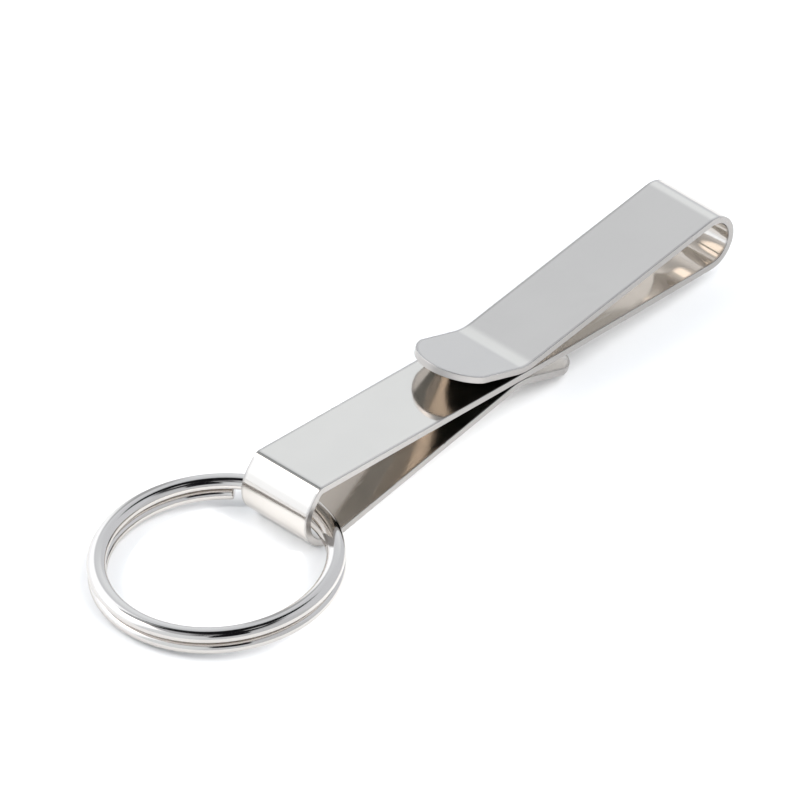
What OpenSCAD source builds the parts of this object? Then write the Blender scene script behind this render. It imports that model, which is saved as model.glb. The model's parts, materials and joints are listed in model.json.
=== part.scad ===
// Belt key clip: one spring strip bent into a flat S, with a split key ring in its hook.
// X runs along the strip from the ring to the belt loop, Y across the strip and Z up.
// The clip rests on its hook and on its lower lip, and the origin is at the bottom centre of the whole.

/* [Strip] */
// Width of the spring strip
strip_w = 12; // [10:0.5:14]
// Thickness of the spring strip
strip_t = 1; // [0.8:0.1:1.2]

/* [Web] */
// Flat length of the web from its knee to the belt loop
belt_run = 28.2; // [24:0.2:34]
// Flat length of the web from its knee to the crease above the hook
hook_run = 48; // [44:0.2:54]
// Bend of the web at its knee, in degrees
knee_turn = 1; // [0.5:0.5:6]
// Radius of the knee at the middle of the strip
knee_r = 50; // [20:5:100]

/* [Belt loop] */
// Inner radius of the loop that goes over the belt
belt_bend_r = 3.2; // [2.6:0.1:3.8]
// Distance from the knee to the corner where the belt tongue turns up
belt_pinch = 8; // [6:0.2:11]
// Length of the belt lip from that corner to its tip
belt_lip = 13.5; // [12:0.5:16]

/* [Ring hook] */
// Inner radius of the hook that holds the key ring
hook_bend_r = 4.2; // [4:0.1:5]
// Bend at the crease above the hook, in degrees
crease_turn = 56; // [50:1:62]
// Radius of the crease at the middle of the strip
crease_r = 1.2; // [0.8:0.1:2]
// Flat length between the crease and the hook
crease_flat = 1.6; // [1.2:0.1:2.4]
// Distance from the knee to the corner where the ring tongue turns down
ring_pinch = 8.6; // [6:0.2:12]
// Length of the ring lip from that corner to its tip
ring_lip = 13.5; // [12:0.5:16]

/* [Lips] */
// Angle at which the belt lip turns up from its tongue, in degrees
belt_lip_turn = 26; // [20:1:35]
// Angle at which the ring lip turns down from its tongue, in degrees
ring_lip_turn = 28; // [20:1:35]
// Radius of both turns at the middle of the strip
lip_bend_r = 8; // [4:0.5:10]
// How much the radius of the round tips exceeds half the strip's width
tip_ease = 0.2; // [0.1:0.1:1]
// Gap between each tongue and the web where they pinch
pinch_gap = 0.1; // [0.05:0.05:0.3]
// Gap where each tongue is parted from the web at the crown of its bend
crown_gap = 0.06; // [0.04:0.01:0.1]

/* [Split ring] */
// Outer diameter of the key ring
ring_od = 35; // [32:0.5:38]
// Width of the ring's wire, measured along the ring's radius
wire_w = 2.65; // [2.2:0.05:2.8]
// Height of one turn of the wire
wire_h = 1.75; // [1.5:0.05:1.9]
// Gap between the two turns of the wire
coil_gap = 0.08; // [0.05:0.01:0.15]
// How far the middle of the wire rests outside the middle of the hook, along X
wire_outside = 0.2; // [0:0.05:0.4]
// Gap between the resting wire and the inside of the hook
wire_room = 0.15; // [0.1:0.05:0.4]
// Angle at which the ring leans to the side where its wire climbs, in degrees
ring_lean = 2.2; // [0:0.2:3]
// Angle on the ring at which the lower turn ends, in degrees
lower_end = 35; // [30:1:40]
// Angle that the wire takes to climb from the lower to the upper turn, in degrees
climb = 30; // [25:1:40]
// Angle left free between each wire end and the climb, in degrees
end_room = 5; // [3:1:8]

/* [Hidden] */
$fn = 96;

// Radii at the middle of the strip's thickness
belt_r = belt_bend_r + strip_t/2;
hook_r = hook_bend_r + strip_t/2;
hook_outer = hook_r + strip_t/2;

// Cross-section of the wire, which has round sides, and the two turns together
side_r = wire_h/2;
ring_h = 2*wire_h + coil_gap;
coil_r = (ring_od - wire_w)/2;
facets_per_side = 5;
degrees_per_ring = 6;

// Length of the facets in the strip's bends, in degrees, and the overrun of cuts
degrees_per_facet = 4;
overrun = strip_t/5;

// A pose is [x, y, heading] in the side view; a step is [flat length, mid radius, turn]
function normal(heading) = [-sin(heading), cos(heading)];
function ahead(heading) = [cos(heading), sin(heading)];
function bend_shift(r, turn) = [r*sin(abs(turn)), sign(turn)*r*(1 - cos(turn))];
function turned(v, angle) = [v.x*cos(angle) - v.y*sin(angle), v.x*sin(angle) + v.y*cos(angle)];
function after(pose, step) =
    let (moved = turned([step[0], 0] + bend_shift(step[1], step[2]), pose[2]))
    [pose.x + moved.x, pose.y + moved.y, pose[2] + step[2]];
function walk(pose, steps, i = 0) =
    i == len(steps) ? pose : walk(after(pose, steps[i]), steps, i + 1);
function spot(pose) = [pose.x, pose.y];

// The web leaves its knee to the belt side and, turned half round, to the hook side
belt_side = [0, 0, 0];
hook_side = [0, 0, 180];
belt_web = [[0, knee_r, knee_turn/2], [belt_run, 0, 0]];
hook_web = [[0, knee_r, -knee_turn/2], [hook_run, crease_r, crease_turn], [crease_flat, 0, 0]];

// Middles of the two bends
belt_start = walk(belt_side, belt_web);
hook_start = walk(hook_side, hook_web);
belt_middle = spot(belt_start) + belt_r*normal(belt_start[2]);
hook_middle = spot(hook_start) + hook_r*normal(hook_start[2]);

// Corners of the two tongues: side is -1 above the web and 1 below it
function corner_rise(turn) = lip_bend_r*(1/cos(turn/2) - 1);
function corner_cut(turn) = lip_bend_r*tan(turn/2);
function corner(pinch, side, turn) =
    let (foot = walk(hook_side, [[0, knee_r, -knee_turn/2], [pinch, 0, 0]]))
    spot(foot) + side*(strip_t + pinch_gap - corner_rise(turn))*normal(foot[2]);

// A tongue leaves its bend as the tangent that reaches its corner, and then turns away as its lip
function tongue_heading(middle, r, corner) =
    let (way = corner - middle) atan2(way.y, way.x) + asin(r/norm(way));
function tongue_length(middle, r, corner) = sqrt(pow(norm(corner - middle), 2) - r*r);
function lip_steps(length, lip_length, turn) =
    [[length - corner_cut(turn), lip_bend_r, -turn], [lip_length - corner_cut(turn), 0, 0]];
belt_corner = corner(belt_pinch, -1, belt_lip_turn);
ring_corner = corner(ring_pinch, 1, ring_lip_turn);
belt_heading = tongue_heading(belt_middle, belt_r, belt_corner) + 360;
ring_heading = tongue_heading(hook_middle, hook_r, ring_corner) + 360;
belt_turn = belt_heading - belt_start[2];
hook_turn = ring_heading - hook_start[2];
belt_length = tongue_length(belt_middle, belt_r, belt_corner);
ring_length = tongue_length(hook_middle, hook_r, ring_corner);

// Turns cut back at the crowns, so that the web and the tongues part there
belt_part = asin(crown_gap/2/belt_r);
hook_part = asin(crown_gap/2/hook_r);

// Rest pose: a line touches the hook from below and meets the ring lip's lower edge
ring_lip_end = walk([hook_middle.x + hook_r*ahead(ring_heading - 90).x,
                     hook_middle.y + hook_r*ahead(ring_heading - 90).y, ring_heading],
                    lip_steps(ring_length, ring_lip, ring_lip_turn));
ring_lip_edge = spot(ring_lip_end) - strip_t/2*normal(ring_lip_end[2]);
foot_way = ring_lip_edge - hook_middle;
rest_turn = -atan2(foot_way.y, foot_way.x) - asin(hook_outer/norm(foot_way));

// The wire rests low in the hook, and its lower turn is nearest to the hook at the edge of the strip
wire_bow = coil_r - sqrt(coil_r*coil_r - strip_w*strip_w/4);
wire_side = wire_outside + wire_bow + wire_w/2 - side_r;
wire_below = sqrt(pow(hook_bend_r - wire_room - side_r, 2) - wire_side*wire_side)
    - (ring_h/2 - side_r);
wire_height = hook_outer - wire_below;

// The ring's far side lies on the table, which sets its tilt: a quadratic in the sine of the tilt
rim_r = coil_r + wire_w/2 - side_r;
raised = wire_height - ring_h/2;
tilt_a = rim_r*rim_r - coil_r*coil_r;
tilt_b = 2*raised*coil_r;
tilt_c = pow(rim_r*sin(ring_lean), 2) - raised*raised;
ring_tilt = asin((sqrt(tilt_b*tilt_b - 4*tilt_a*tilt_c) - tilt_b)/(2*tilt_a));

// The middle of the whole part along X, measured from the middle of the hook
ring_reach = -wire_outside - (coil_r + rim_r)*cos(ring_tilt)
    - (ring_h/2 - side_r)*sin(ring_tilt) - side_r;
belt_reach = turned(belt_middle - hook_middle, rest_turn).x + belt_r + strip_t/2;
hook_x = -(ring_reach + belt_reach)/2;

// Puts the side view upright at its place on the table
module in_rest_pose() {
    translate([hook_x, 0, hook_outer])
        rotate([90, 0, 0])
            rotate(rest_turn)
                translate(-hook_middle)
                    children();
}

module at(pose) {
    translate(spot(pose))
        rotate(pose[2])
            children();
}

// Poses along a run of strip, with each bend in short facets
function course(pose, steps, i = 0) =
    i == len(steps) ? [pose] :
    let (step = steps[i], facets = ceil(abs(step[2])/degrees_per_facet))
    let (foot = after(pose, [step[0], 0, 0]))
    concat(step[0] > 0 ? [pose] : [],
           [for (j = [0:1:facets - 1]) after(foot, [0, step[1], step[2]*j/facets])],
           course(after(pose, step), steps, i + 1));
function backwards(poses) = [for (i = [len(poses) - 1:-1:0]) [poses[i].x, poses[i].y, poses[i][2] - 180]];
function edge(poses) = [for (pose = poses) spot(pose) + strip_t/2*normal(pose[2])];

// A length of strip: both faces lie half the thickness off its course
module ribbon(poses) {
    linear_extrude(strip_w, center = true)
        polygon(concat(edge(poses), edge(backwards(poses))));
}

// What is cut from the square end of a lip to leave a round tip
module tip_cut(tip_r) {
    rotate([90, 0, 0])
        linear_extrude(strip_t + 2*overrun, center = true)
            difference() {
                translate([0, -tip_r - overrun])
                    square([tip_r + overrun, 2*tip_r + 2*overrun]);
                circle(tip_r);
            }
}

module tongue(start, bend_r, turn, part, lip) {
    tip_r = strip_w/2 + tip_ease;
    crown = after(start, [0, bend_r, turn/2 + part]);
    steps = concat([[0, bend_r, turn/2 - part]], lip);
    in_rest_pose()
        difference() {
            ribbon(course(crown, steps));
            at(after(walk(crown, steps), [-tip_r, 0, 0])) tip_cut(tip_r);
        }
}

// Middle of the strip, from the crown of the hook over the crease and knee to the crown of the belt loop
module web() {
    to_hook = course(hook_side, concat(hook_web, [[0, hook_r, hook_turn/2 - hook_part]]));
    to_belt = course(belt_side, concat(belt_web, [[0, belt_r, belt_turn/2 - belt_part]]));
    past_knee = [for (i = [1:len(to_belt) - 1]) to_belt[i]];
    color("gainsboro")
        in_rest_pose()
            ribbon(concat(backwards(to_hook), past_knee));
}

// Upper end of the strip, from the crown of the belt loop to the belt lip
module belt_tongue() {
    color("lightgray")
        tongue(belt_start, belt_r, belt_turn, belt_part, lip_steps(belt_length, belt_lip, belt_lip_turn));
}

// Lower end of the strip, from the crown of the hook to the ring lip
module ring_tongue() {
    color("silver")
        tongue(hook_start, hook_r, hook_turn, hook_part, lip_steps(ring_length, ring_lip, ring_lip_turn));
}

// Height of the wire at an angle along its run: low, climbing, then high
climb_start = 360 + lower_end - end_room - climb;
climb_end = climb_start + climb;
run_end = climb_start - end_room + 360;
layer_step = wire_h + coil_gap;
function climb_share(angle) = min(max((angle - climb_start)/climb, 0), 1);
function smooth_share(share) = share*share*(3 - 2*share);
function wire_z(angle) = layer_step*(smooth_share(climb_share(angle)) - 1/2);

// Outline of the wire: flat above and below, with a half round on each side
wire_points = [for (side = [1, -1]) for (i = [0:facets_per_side])
    let (angle = 180*i/facets_per_side - 90)
    side*[wire_w/2 - side_r + side_r*cos(angle), side_r*sin(angle)]];

function ring_point(angle, point) =
    [(coil_r + point.x)*cos(angle), (coil_r + point.x)*sin(angle), wire_z(angle) + point.y];

// Two turns of flattened wire, swept as one tube with blunt ends
module coil() {
    sides = len(wire_points);
    rings = ceil((run_end - lower_end)/degrees_per_ring);
    points = [for (i = [0:rings]) for (point = wire_points)
        ring_point(lower_end + i*(run_end - lower_end)/rings, point)];
    walls = [for (i = [0:rings - 1]) for (j = [0:sides - 1])
        let (a = i*sides + j, b = i*sides + (j + 1) % sides)
        [a, b, b + sides, a + sides]];
    first_end = [for (j = [0:sides - 1]) sides - 1 - j];
    last_end = [for (j = [0:sides - 1]) rings*sides + j];
    polyhedron(points, concat(walls, [first_end, last_end]), convexity = 8);
}

module split_ring() {
    color("whitesmoke")
        translate([hook_x - wire_outside, 0, wire_height])
            rotate([0, -ring_tilt, 0])
                translate([-coil_r, 0, 0])
                    rotate([-ring_lean, 0, 0])
                        coil();
}

web();
belt_tongue();
ring_tongue();
split_ring();
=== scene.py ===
import cmath
import json
import math

import bpy
from mathutils import Matrix, Vector


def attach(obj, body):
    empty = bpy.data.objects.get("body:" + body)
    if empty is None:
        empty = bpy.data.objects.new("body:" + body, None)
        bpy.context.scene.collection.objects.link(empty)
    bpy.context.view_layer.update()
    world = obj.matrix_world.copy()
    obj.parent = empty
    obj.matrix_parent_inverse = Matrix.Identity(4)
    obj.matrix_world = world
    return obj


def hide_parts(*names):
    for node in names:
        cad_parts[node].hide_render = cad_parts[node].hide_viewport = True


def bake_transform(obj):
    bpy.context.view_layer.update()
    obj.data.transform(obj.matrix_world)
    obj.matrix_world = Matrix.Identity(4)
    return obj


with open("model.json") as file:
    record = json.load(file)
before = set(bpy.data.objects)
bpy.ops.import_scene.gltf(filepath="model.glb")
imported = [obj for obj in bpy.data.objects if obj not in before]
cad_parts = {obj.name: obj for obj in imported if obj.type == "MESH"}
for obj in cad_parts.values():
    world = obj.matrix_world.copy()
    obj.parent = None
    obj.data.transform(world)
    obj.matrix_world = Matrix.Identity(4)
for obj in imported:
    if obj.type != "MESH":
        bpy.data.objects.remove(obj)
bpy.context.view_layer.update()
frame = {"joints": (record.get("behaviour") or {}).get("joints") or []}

# Web: the middle of the clip, which is one strip of hardened spring steel, sheared 12 mm wide, tumbled to
# take off its burrs, bent cold into a flat S and plated with bright nickel. It runs from the crease above
# the ring hook over a slight knee to the belt loop.
strip_w = 0.012
strip_t = 0.001
edge_r = 0.0001
edge_band = 0.0005
belt_run = 0.0282
hook_run = 0.048
crease_flat = 0.0016
knee_r = 0.05
knee_turn = math.radians(1)
crease_r = 0.0012
crease_turn = math.radians(56)
belt_bend_r = 0.0037
hook_bend_r = 0.0047
facet_turn = math.radians(2)
corner_facets = 5


def after(pose, length, radius, turn):
    """The pose, a point and a heading in the side view, after a flat length and then a bend."""
    point, heading = pose
    bend = complex(radius*math.sin(abs(turn)), math.copysign(radius*(1 - math.cos(turn)), turn))
    return point + (length + bend)*cmath.exp(1j*heading), heading + turn


def walk(pose, steps):
    """The pose after several flat lengths and bends."""
    for step in steps:
        pose = after(pose, *step)
    return pose


def beside(pose, distance):
    """A point to the left of a pose in the side view."""
    return pose[0] + distance*1j*cmath.exp(1j*pose[1])


def course(pose, run, steps, way=1):
    """Stations along a stretch of strip: each is a pose and its distance along the strip."""
    stations = [(pose, run)]
    for length, radius, turn in steps:
        if length:
            pose = after(pose, length, 0, 0)
            run += way*length
            stations.append((pose, run))
        facets = math.ceil(abs(turn)/facet_turn)
        for i in range(1, facets + 1):
            part = turn*i/facets
            stations.append((after(pose, 0, radius, part), run + way*radius*abs(part)))
        pose, run = stations[-1]
    return stations


def backwards(stations):
    """The same stations in the other order, each headed the other way."""
    return [((point, heading - math.pi), run) for (point, heading), run in reversed(stations)]


belt_web = [(0, knee_r, knee_turn/2), (belt_run, 0, 0)]
hook_web = [(0, knee_r, -knee_turn/2), (hook_run, crease_r, crease_turn), (crease_flat, 0, 0)]
belt_start = walk((0j, 0), belt_web)
hook_start = walk((0j, math.pi), hook_web)
belt_middle = beside(belt_start, belt_bend_r)
hook_middle = beside(hook_start, hook_bend_r)

# The tongues press on the web near its knee, at the corners where their lips turn away
belt_pinch = 0.008
ring_pinch = 0.0086
pinch_gap = 0.0001
lip_bend_r = 0.008
belt_lip = 0.0135
ring_lip = 0.0135
belt_lip_turn = math.radians(26)
ring_lip_turn = math.radians(28)


def pinch_corner(pinch, side, lip_turn):
    """The sharp corner of a tongue and its lip. The bend that rounds it off just clears the web."""
    foot = walk((0j, math.pi), [(0, knee_r, -knee_turn/2), (pinch, 0, 0)])
    corner_rise = lip_bend_r*(1/math.cos(lip_turn/2) - 1)
    return beside(foot, side*(strip_t + pinch_gap - corner_rise))


def tongue_from(start, middle, radius, corner):
    """How far a bend turns, and how long its tongue is, for the tongue to reach its corner."""
    way = corner - middle
    heading = cmath.phase(way) + math.asin(radius/abs(way)) + math.tau
    return heading - start[1], math.sqrt(abs(way)**2 - radius**2)


def lip_steps(length, lip_length, lip_turn):
    """A tongue, its bend and its lip, from the two lengths up to their sharp corner."""
    corner_cut = lip_bend_r*math.tan(lip_turn/2)
    return [(length - corner_cut, lip_bend_r, -lip_turn), (lip_length - corner_cut, 0, 0)]


belt_corner = pinch_corner(belt_pinch, -1, belt_lip_turn)
ring_corner = pinch_corner(ring_pinch, 1, ring_lip_turn)
belt_turn, belt_length = tongue_from(belt_start, belt_middle, belt_bend_r, belt_corner)
hook_turn, ring_length = tongue_from(hook_start, hook_middle, hook_bend_r, ring_corner)
belt_tongue_steps = lip_steps(belt_length, belt_lip, belt_lip_turn)
ring_tongue_steps = lip_steps(ring_length, ring_lip, ring_lip_turn)

# At rest the hook and the lower edge of the ring lip touch the table
hook_outer_r = hook_bend_r + strip_t/2
lip_end = walk(hook_start, [(0, hook_bend_r, hook_turn), *ring_tongue_steps])
foot_way = beside(lip_end, -strip_t/2) - hook_middle
rest_turn = cmath.exp(-1j*(cmath.phase(foot_way) + math.asin(hook_outer_r/abs(foot_way))))
swing = next(joint for joint in frame["joints"] if joint["name"] == "ring_swing")
hook_place = complex(swing["pos_m"][0], swing["pos_m"][2])


def upright(pose, along, across, up):
    """A direction in the frame, from one given along, across and up from a station's face."""
    spot = rest_turn*complex(along, up)*cmath.exp(1j*pose[1])
    return Vector((spot.real, across, spot.imag))


def placed(pose, along, across, up):
    """A point in the frame, from one given along, across and up from a station's middle."""
    foot = hook_place + rest_turn*(pose[0] - hook_middle)
    return Vector((foot.real, 0, foot.imag)) + upright(pose, along, across, up)


def rim_points():
    """Points round the strip's edge, from its upper face to its lower.

    A point has how far it is out and up, the same two of its normal, and its share in the edge's finish
    and painted shade.
    """
    points = [(-edge_band, strip_t/2, 0, 1, 0)]
    for corner, level in ((1, strip_t/2 - edge_r), (0, edge_r - strip_t/2)):
        for i in range(corner_facets + 1):
            angle = math.pi/2*(corner - i/corner_facets)
            out, up = math.cos(angle), math.sin(angle)
            points.append((edge_r*(out - 1), level + edge_r*up, out, up, 1))
    points.append((-edge_band, -strip_t/2, 0, -1, 0))
    return points


def strip_rows(stations, tip_r=None, way=1):
    """Rows of points round the strip, one for each station, and a fan of rows round a lip's tip.

    A row has a pose and its run, a pivot ahead of it, a reach from there, and a turn from square across.
    """
    fans = [(pose, run, 0, strip_w/2, 0) for pose, run in stations]
    if tip_r:
        pose, run = stations[-1]
        shoulder = math.acos(strip_w/2/tip_r)
        fans[-1] = (pose, run, tip_r*(math.sin(shoulder) - 1), strip_w/2, 0)
        steps = math.ceil((math.pi/2 - shoulder)/(2*facet_turn))
        for i in range(1, steps + 1):
            fans.append((pose, run, -tip_r, tip_r, shoulder + (math.pi/2 - shoulder)*i/steps))
    rows = []
    for pose, run, pivot, reach, turn in fans:
        row = []
        for side in (1, -1):
            ahead, aside = math.sin(turn), side*math.cos(turn)
            points = rim_points() if side == 1 else reversed(rim_points())
            for out, up, normal_out, normal_up, edge in points:
                along, across = pivot + (reach + out)*ahead, (reach + out)*aside
                row.append((placed(pose, along, across, up),
                            upright(pose, normal_out*ahead, normal_out*aside, normal_up),
                            (run + way*along, across), edge))
        rows.append(row)
    return rows


def add(tree, kind, inputs=None, **settings):
    """A node of a tree, with its settings made and its inputs linked or set."""
    made = tree.nodes.new(kind)
    for name, value in settings.items():
        setattr(made, name, value)
    for key, value in (inputs or {}).items():
        if isinstance(value, bpy.types.NodeSocket):
            tree.links.new(value, made.inputs[key])
        else:
            made.inputs[key].default_value = value
    return made


def reckon(tree, operation, *values):
    return add(tree, "ShaderNodeMath", dict(enumerate(values)), operation=operation).outputs[0]


def ramp(tree, value, low, high, start=0, end=1):
    """A value that goes smoothly from start to end while another goes from low to high."""
    inputs = {"Value": value, "From Min": low, "From Max": high, "To Min": start, "To Max": end}
    return add(tree, "ShaderNodeMapRange", inputs, interpolation_type="SMOOTHSTEP").outputs[0]


def mix(tree, factor, first, second):
    return add(tree, "ShaderNodeMix", {0: factor, 6: first, 7: second}, data_type="RGBA").outputs[2]


def new_group(name, kind, inputs, outputs):
    """An empty node tree with named sockets, its inner inputs and its inner outputs."""
    tree = bpy.data.node_groups.new(name, kind)
    for in_out, sockets in (("INPUT", inputs), ("OUTPUT", outputs)):
        for socket_name, socket_type in sockets.items():
            tree.interface.new_socket(socket_name, in_out=in_out, socket_type="NodeSocket" + socket_type)
    return tree, tree.nodes.new("NodeGroupInput").outputs, tree.nodes.new("NodeGroupOutput").inputs


# Hairlines: the fine marks that rolling and drawing leave along the steel under its plating
hairlines, given, result = new_group(
    "hairlines", "ShaderNodeTree",
    {"Along": "Float", "Across": "Float", "Length": "Float", "Spacing": "Float"}, {"Height": "Float"})
stretched = add(hairlines, "ShaderNodeCombineXYZ", {
    "X": reckon(hairlines, "DIVIDE", given["Along"], given["Length"]),
    "Y": reckon(hairlines, "DIVIDE", given["Across"], given["Spacing"])}).outputs[0]
lines = add(hairlines, "ShaderNodeTexNoise", {"Vector": stretched, "Scale": 1, "Detail": 3})
hairlines.links.new(lines.outputs["Fac"], result["Height"])

# Handling: the cloudy finger marks and the few fine scratches that a carried steel thing collects
cloud_size = 0.009
cloud_levels = (0.3, 0.7)
scratch_size = 0.0004
scratch_stretch = 25
scratch_slant = math.radians(33)
scratch_levels = (0.72, 0.8)
handling, given, result = new_group(
    "handling", "ShaderNodeTree",
    {"Place": "Vector", "Cloud Size": "Float", "Scratch Size": "Float"},
    {"Clouds": "Float", "Scratches": "Float"})
per_cloud = reckon(handling, "DIVIDE", 1, given["Cloud Size"])
clouds = add(handling, "ShaderNodeTexNoise", {
    "Vector": given["Place"], "Scale": per_cloud, "Detail": 2, "Distortion": 0.4})
handling.links.new(ramp(handling, clouds.outputs["Fac"], *cloud_levels), result["Clouds"])
slanted = add(handling, "ShaderNodeMapping", {
    "Vector": given["Place"], "Rotation": (0, 0, scratch_slant), "Scale": (1/scratch_stretch, 1, 1)})
per_scratch = reckon(handling, "DIVIDE", 1, given["Scratch Size"])
strokes = add(handling, "ShaderNodeTexNoise", {
    "Vector": slanted.outputs[0], "Scale": per_scratch, "Detail": 0})
handling.links.new(ramp(handling, strokes.outputs["Fac"], *scratch_levels), result["Scratches"])

# What the handling does to the plating: clouds grey it a little, and scratches roughen it
hand_grey = (0.5, 0.48, 0.45, 1)
cloud_greying = 0.08
scratch_dulling = 0.05


def plated_metal(name, colour, edge_colour, gloss, edge_dulling, line_length, line_spacing, line_depth):
    """Bright plating over drawn or rolled steel. Its least and greatest roughness are its gloss."""
    material = bpy.data.materials.new(name)
    material.use_nodes = True
    tree = material.node_tree
    shader = tree.nodes["Principled BSDF"]
    layout = add(tree, "ShaderNodeUVMap", uv_map="Layout").outputs[0]
    layout = add(tree, "ShaderNodeSeparateXYZ", {0: layout}).outputs
    lines = add(tree, "ShaderNodeGroup", {
        "Along": layout["X"], "Across": layout["Y"], "Length": line_length, "Spacing": line_spacing},
        node_tree=hairlines)
    place = add(tree, "ShaderNodeTexCoord").outputs["Object"]
    marks = add(tree, "ShaderNodeGroup", {
        "Place": place, "Cloud Size": cloud_size, "Scratch Size": scratch_size}, node_tree=handling)
    clouds, scratches = marks.outputs["Clouds"], marks.outputs["Scratches"]
    edge = add(tree, "ShaderNodeAttribute", attribute_name="edge").outputs["Fac"]
    # The rim takes the edge colour, which on the strip is partly its duller satin and partly painted shade
    shade = mix(tree, edge, colour, edge_colour)
    greyed = mix(tree, reckon(tree, "MULTIPLY", clouds, cloud_greying), shade, hand_grey)
    tree.links.new(greyed, shader.inputs["Base Color"])
    rough = ramp(tree, clouds, 0, 1, *gloss)
    rough = reckon(tree, "ADD", rough, reckon(tree, "MULTIPLY", scratches, scratch_dulling))
    rough = reckon(tree, "ADD", rough, reckon(tree, "MULTIPLY", edge, edge_dulling))
    tree.links.new(rough, shader.inputs["Roughness"])
    relief = reckon(tree, "SUBTRACT", lines.outputs["Height"], scratches)
    bumps = add(tree, "ShaderNodeBump", {"Height": relief, "Strength": 1, "Distance": line_depth})
    tree.links.new(bumps.outputs[0], shader.inputs["Normal"])
    shader.inputs["Metallic"].default_value = 1
    return material


strip_nickel = (0.66, 0.625, 0.585, 1)
# The strip's rim is darker than its faces: partly the sheared edge's own duller satin, partly painted
# shade for the shaded table that the rim mirrors
edge_satin_and_painted_shade = (0.46, 0.437, 0.418, 1)
nickel_strip = plated_metal("nickel_strip", strip_nickel, edge_satin_and_painted_shade, gloss=(0.07, 0.11),
                            edge_dulling=0.2, line_length=0.012, line_spacing=0.00016,
                            line_depth=0.0000006)


def strip_piece(name, rows, closed_tip=False):
    """A length of strip as a closed mesh, with its flat layout as UVs and with its exact normals."""
    size = len(rows[0])
    points = [point for row in rows for point in row]
    faces = []
    for i in range(len(rows) - 1):
        for j in range(size):
            corner, neighbour = i*size + j, i*size + (j + 1) % size
            faces.append([corner, corner + size, neighbour + size, neighbour])
    ends = [list(range(size))]
    if closed_tip:
        last = (len(rows) - 1)*size
        twin = {last + size - 1 - j: last + j for j in range(size//2)}
        faces = [[twin.get(corner, corner) for corner in face] for face in faces]
        faces = [[corner for i, corner in enumerate(face) if corner != face[i - 1]] for face in faces]
        faces = [face for face in faces if len(face) > 2]
        points = points[:last + size//2]
    else:
        ends.append([(len(rows) - 1)*size + j for j in reversed(range(size))])
    mesh = bpy.data.meshes.new(name)
    mesh.from_pydata([point[0] for point in points], [], faces + ends)
    layout = mesh.uv_layers.new(name="Layout")
    edge = mesh.attributes.new("edge", "FLOAT", "POINT")
    edge.data.foreach_set("value", [point[3] for point in points])
    normals = [None]*len(mesh.loops)
    for polygon in mesh.polygons:
        polygon.use_smooth = True
        for loop in polygon.loop_indices:
            point = points[mesh.loops[loop].vertex_index]
            layout.data[loop].uv = point[2]
            normals[loop] = polygon.normal if polygon.index >= len(faces) else point[1]
    mesh.normals_split_custom_set(normals)
    mesh.materials.append(nickel_strip)
    piece = bpy.data.objects.new(name, mesh)
    bpy.context.scene.collection.objects.link(piece)
    return piece


web_stations = backwards(course((0j, math.pi), 0, hook_web, way=-1)) + course((0j, 0), 0, belt_web)[1:]
web = strip_piece("web_strip", strip_rows(web_stations))
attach(web, "web")
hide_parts("web")

# Belt loop: the round bend that closes over the edge of the belt. It is the same strip, and it springs
# open when the tongue is lifted.
loop_stations = course(belt_start, web_stations[-1][1], [(0, belt_bend_r, belt_turn)])
loop_rows = strip_rows(loop_stations)
belt_loop = strip_piece("belt_loop_bend", loop_rows)
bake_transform(belt_loop)

# Belt tongue: the upper end of the strip, which lies back over the web and presses on it. Its end is cut
# round and flares up as a lip, so that a belt slides in under it.
tip_r = strip_w/2 + 0.0002
belt_tongue_rows = strip_rows(course(*loop_stations[-1], belt_tongue_steps), tip_r)
belt_tongue = strip_piece("belt_tongue_strip", belt_tongue_rows, closed_tip=True)
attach(belt_tongue, "belt_tongue")
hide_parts("belt_tongue")

# Hook: the wide bend at the other end of the strip, in which the key ring hangs. It springs open a little
# when the ring is slid in past the lip.
hook_stations = course(hook_start, web_stations[0][1], [(0, hook_bend_r, hook_turn)], way=-1)
hook_rows = strip_rows(hook_stations, way=-1)
hook = strip_piece("hook_bend", hook_rows)
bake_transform(hook)

# Ring tongue: the lower end of the strip, which runs back under the web and presses on it from below. Its
# round lip flares down, and the clip rests on it.
ring_tongue_rows = strip_rows(course(*hook_stations[-1], ring_tongue_steps, way=-1), tip_r, way=-1)
ring_tongue = strip_piece("ring_tongue_strip", ring_tongue_rows, closed_tip=True)
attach(ring_tongue, "ring_tongue")
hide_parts("ring_tongue")

# Split ring: a flattened spring-steel wire wound twice round and nickel plated, for the keys. Where the
# wire climbs from its lower to its upper turn it lies hidden in the hook, and both its ends are cut blunt.
ring_od = 0.035
wire_w = 0.00265
wire_h = 0.00175
coil_gap = 0.00008
wire_outside = 0.0002
wire_room = 0.00015
ring_lean = math.radians(2.2)
lower_end = math.radians(35)
climb = math.radians(30)
end_room = math.radians(5)
end_bevel = 0.00025
squareness = 2.15
side_run = 0.0001

wire_sweep, given, result = new_group(
    "wire_sweep", "GeometryNodeTree",
    {"Coil Radius": "Float", "Wire Width": "Float", "Wire Height": "Float", "Squareness": "Float",
     "First Angle": "Float", "Last Angle": "Float", "Climb Start": "Float", "Climb Angle": "Float",
     "Layer Step": "Float", "Steps": "Int", "Sides": "Int", "Finish": "Material"},
    {"Wire": "Geometry"})


def steer(operation, *values):
    return reckon(wire_sweep, operation, *values)


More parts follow.
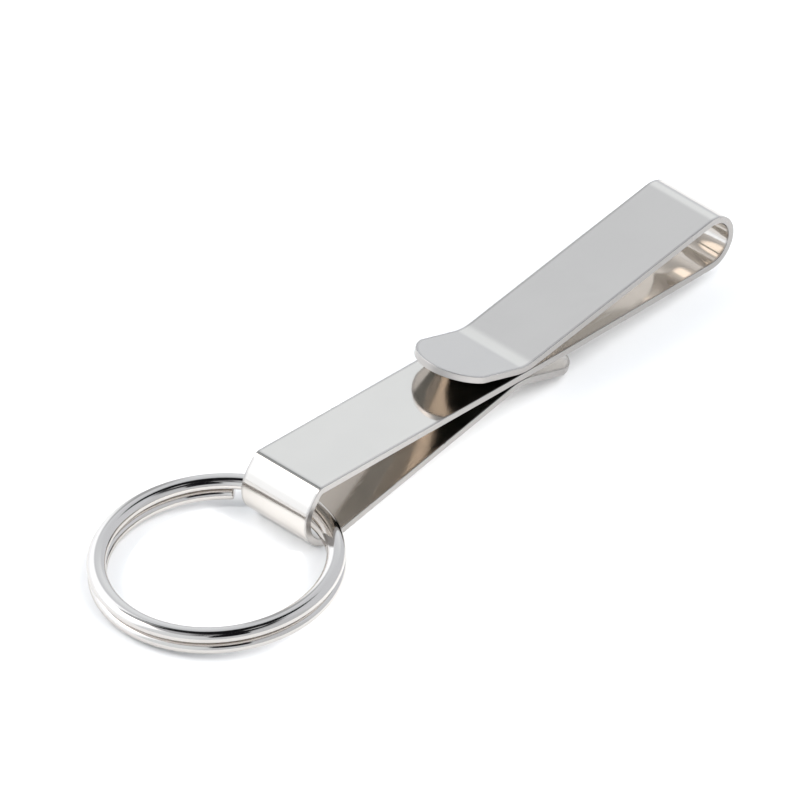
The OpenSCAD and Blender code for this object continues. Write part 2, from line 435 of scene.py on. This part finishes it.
# The path: points along two turns, which climb by one layer in between
index = wire_sweep.nodes.new("GeometryNodeInputIndex").outputs[0]
dots = add(wire_sweep, "GeometryNodeMeshLine", {"Count": steer("ADD", given["Steps"], 1)})
angle = steer("ADD", given["First Angle"], steer(
    "MULTIPLY", steer("SUBTRACT", given["Last Angle"], given["First Angle"]),
    steer("DIVIDE", index, given["Steps"])))
climb_end = steer("ADD", given["Climb Start"], given["Climb Angle"])
climbed = ramp(wire_sweep, angle, given["Climb Start"], climb_end)
spot = add(wire_sweep, "ShaderNodeCombineXYZ", {
    "X": steer("MULTIPLY", given["Coil Radius"], steer("COSINE", angle)),
    "Y": steer("MULTIPLY", given["Coil Radius"], steer("SINE", angle)),
    "Z": steer("MULTIPLY", given["Layer Step"], steer("SUBTRACT", climbed, 0.5))})
coil = add(wire_sweep, "GeometryNodeSetPosition", {
    "Geometry": dots.outputs[0], "Position": spot.outputs[0]})
coil = add(wire_sweep, "GeometryNodeMeshToCurve", {"Mesh": coil.outputs[0]})
coil = add(wire_sweep, "GeometryNodeSetCurveNormal", {"Curve": coil.outputs[0]}, mode="Z_UP")
run = steer("MULTIPLY", angle, given["Coil Radius"])
coil = add(wire_sweep, "GeometryNodeStoreNamedAttribute", {
    "Geometry": coil.outputs[0], "Name": "along", "Value": run}, domain="POINT")

# The wire's outline: a circle drawn out into a flattened round
circle = add(wire_sweep, "GeometryNodeCurvePrimitiveCircle", {"Resolution": given["Sides"], "Radius": 1})
place = wire_sweep.nodes.new("GeometryNodeInputPosition").outputs[0]
sign = add(wire_sweep, "ShaderNodeVectorMath", {0: place}, operation="SIGN").outputs[0]
size = add(wire_sweep, "ShaderNodeVectorMath", {0: place}, operation="ABSOLUTE").outputs[0]
power = steer("DIVIDE", 2, given["Squareness"])
powers = add(wire_sweep, "ShaderNodeCombineXYZ", {"X": power, "Y": power, "Z": 1}).outputs[0]
size = add(wire_sweep, "ShaderNodeVectorMath", {0: size, 1: powers}, operation="POWER").outputs[0]
halves = add(wire_sweep, "ShaderNodeCombineXYZ", {
    "X": steer("DIVIDE", given["Wire Width"], 2),
    "Y": steer("DIVIDE", given["Wire Height"], 2)}).outputs[0]
size = add(wire_sweep, "ShaderNodeVectorMath", {0: size, 1: halves}, operation="MULTIPLY").outputs[0]
flattened = add(wire_sweep, "ShaderNodeVectorMath", {0: size, 1: sign}, operation="MULTIPLY").outputs[0]
run = steer("MULTIPLY", index, side_run)
outline = add(wire_sweep, "GeometryNodeStoreNamedAttribute", {
    "Geometry": circle.outputs[0], "Name": "round", "Value": run}, domain="POINT")
outline = add(wire_sweep, "GeometryNodeSetPosition", {
    "Geometry": outline.outputs[0], "Position": flattened})

# The sweep, with the runs along the wire and round it kept as its layout
swept = add(wire_sweep, "GeometryNodeCurveToMesh", {
    "Curve": coil.outputs[0], "Profile Curve": outline.outputs[0], "Fill Caps": True})
along, around = [
    add(wire_sweep, "GeometryNodeInputNamedAttribute", {"Name": name}, data_type="FLOAT").outputs[0]
    for name in ("along", "round")]
pair = add(wire_sweep, "ShaderNodeCombineXYZ", {"X": along, "Y": around}).outputs[0]
swept = add(wire_sweep, "GeometryNodeStoreNamedAttribute", {
    "Geometry": swept.outputs[0], "Name": "Layout", "Value": pair}, data_type="FLOAT2", domain="CORNER")
swept = add(wire_sweep, "GeometryNodeSetShadeSmooth", {"Geometry": swept.outputs[0]})
swept = add(wire_sweep, "GeometryNodeRealizeInstances", {"Geometry": swept.outputs[0]})
swept = add(wire_sweep, "GeometryNodeSetMaterial", {
    "Geometry": swept.outputs[0], "Material": given["Finish"]})
wire_sweep.links.new(swept.outputs[0], result["Wire"])

wire_nickel = (0.64, 0.606, 0.576, 1)
nickel_wire = plated_metal("nickel_wire", wire_nickel, wire_nickel, gloss=(0.07, 0.1), edge_dulling=0,
                           line_length=0.006, line_spacing=0.00012, line_depth=0.0000006)
coil_r = (ring_od - wire_w)/2
layer_step = wire_h + coil_gap
climb_start = math.tau + lower_end - end_room - climb
wire_sizes = {"Coil Radius": coil_r, "Wire Width": wire_w, "Wire Height": wire_h, "Squareness": squareness,
              "First Angle": lower_end, "Last Angle": climb_start - end_room + math.tau,
              "Climb Start": climb_start, "Climb Angle": climb, "Layer Step": layer_step,
              "Steps": 450, "Sides": 48, "Finish": nickel_wire}
holder = bpy.data.objects.new("wire_holder", bpy.data.meshes.new("wire_holder"))
bpy.context.scene.collection.objects.link(holder)
sweep = holder.modifiers.new("sweep", "NODES")
sweep.node_group = wire_sweep
for item in wire_sweep.interface.items_tree:
    if item.in_out == "INPUT":
        sweep[item.identifier] = wire_sizes[item.name]
blunting = holder.modifiers.new("blunting", "BEVEL")
blunting.width = end_bevel
blunting.segments = 3
blunting.limit_method = "ANGLE"
blunting.angle_limit = math.radians(60)
bpy.context.view_layer.update()
ready = holder.evaluated_get(bpy.context.evaluated_depsgraph_get())
split_ring = bpy.data.objects.new("split_ring_wire", bpy.data.meshes.new_from_object(ready))
bpy.context.scene.collection.objects.link(split_ring)
bpy.data.objects.remove(holder)

# The ring lies low in the hook, and tilts until its far side touches the table
side_r = wire_h/2
ring_h = 2*wire_h + coil_gap
wire_bow = coil_r - math.sqrt(coil_r**2 - strip_w**2/4)
wire_side = wire_outside + wire_bow + wire_w/2 - side_r
hook_inner_r = hook_bend_r - strip_t/2
wire_below = math.sqrt((hook_inner_r - wire_room - side_r)**2 - wire_side**2) - (ring_h/2 - side_r)
wire_height = hook_place.imag - wire_below
rim_r = coil_r + wire_w/2 - side_r
raised = wire_height - ring_h/2
tilt_a = rim_r**2 - coil_r**2
tilt_b = 2*raised*coil_r
tilt_c = (rim_r*math.sin(ring_lean))**2 - raised**2
ring_tilt = math.asin((math.sqrt(tilt_b**2 - 4*tilt_a*tilt_c) - tilt_b)/(2*tilt_a))
split_ring.data.transform(Matrix.Translation((hook_place.real - wire_outside, 0, wire_height))
                          @ Matrix.Rotation(-ring_tilt, 4, "Y") @ Matrix.Translation((-coil_r, 0, 0))
                          @ Matrix.Rotation(-ring_lean, 4, "X"))
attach(split_ring, "split_ring")
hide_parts("split_ring")

# Floor: a plain table of board painted a dull white, which takes a soft shadow and gives no glare. It is
# no part of the clip, and it reaches out behind the camera.
table_reach = 6
table_mesh = bpy.data.meshes.new("table")
table_corners = [(x*table_reach, y*table_reach, 0) for x, y in ((-1, -1), (1, -1), (1, 1), (-1, 1))]
table_mesh.from_pydata(table_corners, [], [(0, 1, 2, 3)])
table = bpy.data.objects.new("table", table_mesh)
bpy.context.scene.collection.objects.link(table)
table_white = bpy.data.materials.new("table_white")
table_white.use_nodes = True
paint = table_white.node_tree.nodes["Principled BSDF"]
paint.inputs["Base Color"].default_value = (0.9, 0.9, 0.9, 1)
paint.inputs["Roughness"].default_value = 0.8
table_mesh.materials.append(table_white)

# Light: the soft white walls of a photo tent, open overhead, where the room is dark. Each part of the
# walls is laid over those before it. Levels go from nought at the table to one overhead.
studio = bpy.data.worlds.new("studio")
bpy.context.scene.world = studio
studio.use_nodes = True
tent = studio.node_tree
direction = add(tent, "ShaderNodeTexCoord").outputs["Generated"]
flat = add(tent, "ShaderNodeVectorMath", {0: direction, 1: (1, 1, 0)}, operation="MULTIPLY").outputs[0]
flat = add(tent, "ShaderNodeVectorMath", {0: flat}, operation="NORMALIZE").outputs[0]
level = add(tent, "ShaderNodeSeparateXYZ", {0: direction}).outputs["Z"]


def facing(way, aim):
    """The cosine of the angle between a way and an aim."""
    return add(tent, "ShaderNodeVectorMath", {0: way, 1: aim}, operation="DOT_PRODUCT").outputs["Value"]


def sector(bearing, half_width, softness):
    """A mask in degrees from +X towards +Y: one round a bearing, and nought beyond half the width."""
    aim = (math.cos(math.radians(bearing)), math.sin(math.radians(bearing)), 0)
    edges = [math.cos(math.radians(half_width + side*softness)) for side in (1, -1)]
    return ramp(tent, facing(flat, aim), *edges)


def times(first, second):
    return reckon(tent, "MULTIPLY", first, second)


# The walls all round: grey cloth, paler on one side, with a bright patch, a seam and a white stretch
grey_cloth = (0.76, 0.8, 0.85, 1)
pale_cloth = (0.86, 0.91, 0.98, 1)
bright_cloth = (1.08, 1.15, 1.22, 1)
seam_grey = (0.5, 0.53, 0.56, 1)
white_cloth = (1, 1.06, 1.12, 1)
patch_level = 0.43
wall = mix(tent, sector(20, 75, 8), grey_cloth, pale_cloth)
patch_offset = reckon(tent, "ABSOLUTE", reckon(tent, "SUBTRACT", level, patch_level))
patch = times(sector(36, 12, 8), ramp(tent, patch_offset, 0.1, 0.3, 1, 0))
wall = mix(tent, patch, wall, bright_cloth)
seam = times(sector(54, 2.5, 2.5), ramp(tent, level, 0.5, 0.62, 1, 0))
wall = mix(tent, seam, wall, seam_grey)
wall = mix(tent, sector(165, 40, 20), wall, white_cloth)

# A window behind the walls, towards +Y and brighter higher up, with a softbox in it
window_low = (1.43, 1.5, 1.59, 1)
window_high = (1.62, 1.7, 1.8, 1)
softbox_white = (3.75, 3.7, 3.68, 1)
window = mix(tent, ramp(tent, level, 0.25, 0.4), window_low, window_high)
wall = mix(tent, sector(105, 46, 5), wall, window)
softbox = times(sector(112, 21, 5), ramp(tent, level, 0.4, 0.55))
wall = mix(tent, softbox, wall, softbox_white)

# The walls dim towards the tent's open top, except at one end, and two shades hang from it
rim_grey = (0.58, 0.61, 0.65, 1)
wide_shade = (0.55, 0.59, 0.62, 1)
narrow_shade = (0.22, 0.25, 0.26, 1)
rim = times(ramp(tent, level, 0.85, 0.89), reckon(tent, "SUBTRACT", 1, sector(338, 36, 8)))
wall = mix(tent, rim, wall, rim_grey)
for bearing, half_width, colour in ((78, 15, wide_shade), (60, 5, narrow_shade)):
    shade = times(sector(bearing, half_width, 2), ramp(tent, level, 0.75, 0.77))
    wall = mix(tent, shade, wall, colour)

# The open top, whose rim rises and dips, and comes lowest on the camera's side
room_black = (0.01, 0.01, 0.012, 1)
rim_level = 0.94
for bearing, half_width, softness, rise in (
        (128, 32, 5, 0.03), (41, 26, 3, -0.13), (80, 13, 3, -0.09), (229, 22, 5, -0.26)):
    rim_level = reckon(tent, "ADD", rim_level, times(sector(bearing, half_width, softness), rise))
above_rim = reckon(tent, "SUBTRACT", level, rim_level)
glow = mix(tent, ramp(tent, above_rim, -0.015, 0.025), wall, room_black)

# Two small panels hang over the opening, so that the flat faces aren't black when seen from above
panel_grey = (0.62, 0.65, 0.69, 1)
panel_lean = math.radians(10.3)
panel_edges = [math.cos(math.radians(edge)) for edge in (4.5, 3)]
for lean in (panel_lean, -panel_lean):
    panel = ramp(tent, facing(direction, (math.sin(lean), 0.01, math.cos(lean))), *panel_edges)
    glow = mix(tent, panel, glow, panel_grey)

# Straight from the camera, all that lies past the table is plain white
seen = add(tent, "ShaderNodeLightPath").outputs["Is Camera Ray"]
tent.links.new(mix(tent, seen, glow, (1, 1, 1, 1)), tent.nodes["Background"].inputs["Color"])


def pointed(way):
    """The turn of a lamp or camera that stands this way from what it points at."""
    return way.to_track_quat("Z", "Y").to_matrix().to_4x4()


def light(name, kind, spot, aim, energy, **settings):
    """A soft lamp that whitens the table and is kept out of the metal's reflections."""
    data = bpy.data.lights.new(name, kind)
    data.energy = energy
    for setting, value in settings.items():
        setattr(data, setting, value)
    lamp = bpy.data.objects.new(name, data)
    lamp.matrix_world = Matrix.Translation(spot) @ pointed(spot - aim)
    lamp.visible_glossy = False
    bpy.context.scene.collection.objects.link(lamp)


# A wide lamp for the whole table, and two narrow ones for it round the ring and in front of the hook
narrow = {"spot_blend": 1, "shadow_soft_size": 0.02}
light("near_lamp", "AREA", Vector((0.24, -0.66, 0.84)), Vector(), 10.5, shape="DISK", size=1.2)
light("ring_lamp", "SPOT", Vector((-0.5, 0.27, 0.6)), Vector((-0.035, 0.01, 0)), 11,
      spot_size=math.radians(4), **narrow)
light("front_lamp", "SPOT", Vector((0.05, -0.5, 0.65)), Vector((-0.013, -0.019, 0)), 18,
      spot_size=math.radians(4.6), **narrow)

# Camera: a very long lens at the photograph's viewing angle, aimed at the middle of the clip. A small
# shift of the camera to its side and upwards puts the clip where the photograph has it.
azimuth = math.radians(-46.643)
elevation = math.radians(39.111)
roll = math.radians(-0.368)
distance = 4.8026
target = Vector((-0.00013, 0, 0.005))
shift = Vector((-0.00208, 0.002077, 0))
camera_way = Vector((math.sin(azimuth)*math.cos(elevation), -math.cos(azimuth)*math.cos(elevation),
                     math.sin(elevation)))
camera_data = bpy.data.cameras.new("camera")
camera_data.lens = 1600
camera_data.sensor_width = 36
camera_data.clip_end = 20
camera = bpy.data.objects.new("camera", camera_data)
bpy.context.scene.collection.objects.link(camera)
turn = pointed(camera_way) @ Matrix.Rotation(roll, 4, "Z")
camera.matrix_world = Matrix.Translation(target + distance*camera_way) @ turn @ Matrix.Translation(shift)
bpy.context.scene.camera = camera
bpy.context.scene.view_settings.view_transform = "Standard"
